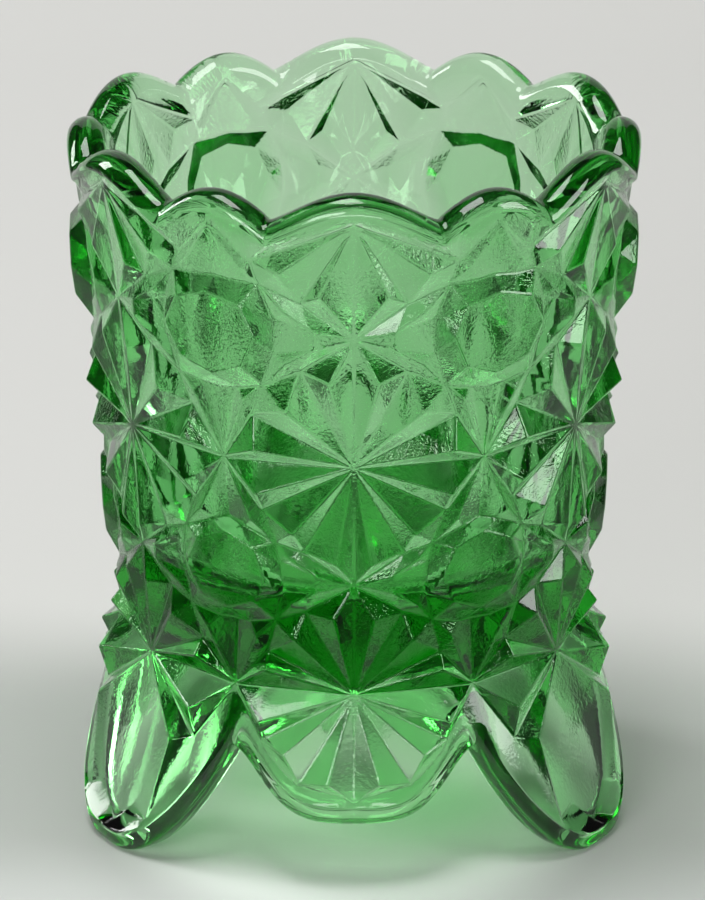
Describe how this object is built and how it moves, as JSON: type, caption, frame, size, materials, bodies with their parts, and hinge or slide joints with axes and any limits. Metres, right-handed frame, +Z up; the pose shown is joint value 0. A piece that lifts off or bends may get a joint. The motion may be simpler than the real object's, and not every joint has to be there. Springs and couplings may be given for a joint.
{
  "type": "toothpick holder",
  "caption": "Small scalloped cup of pressed green glass with a daisy and button relief, on a flared hollow skirt that ends in short feet.",
  "frame": {"origin": "on the holder's axis, at the level of the feet's flat bottoms", "axes": "+Z up out of the cup's mouth; -Y towards the front of the picture, where a daisy column ends in a lobe; +X to the right as seen from the front"},
  "size_m": [0.0552, 0.0559, 0.07],
  "materials": {
    "green_glass": "fire-polished pressed glass, clear green, fine mould texture on the outside"
  },
  "bodies": {
    "root": {"glass_body": "green_glass"}
  },
  "joints": []
}
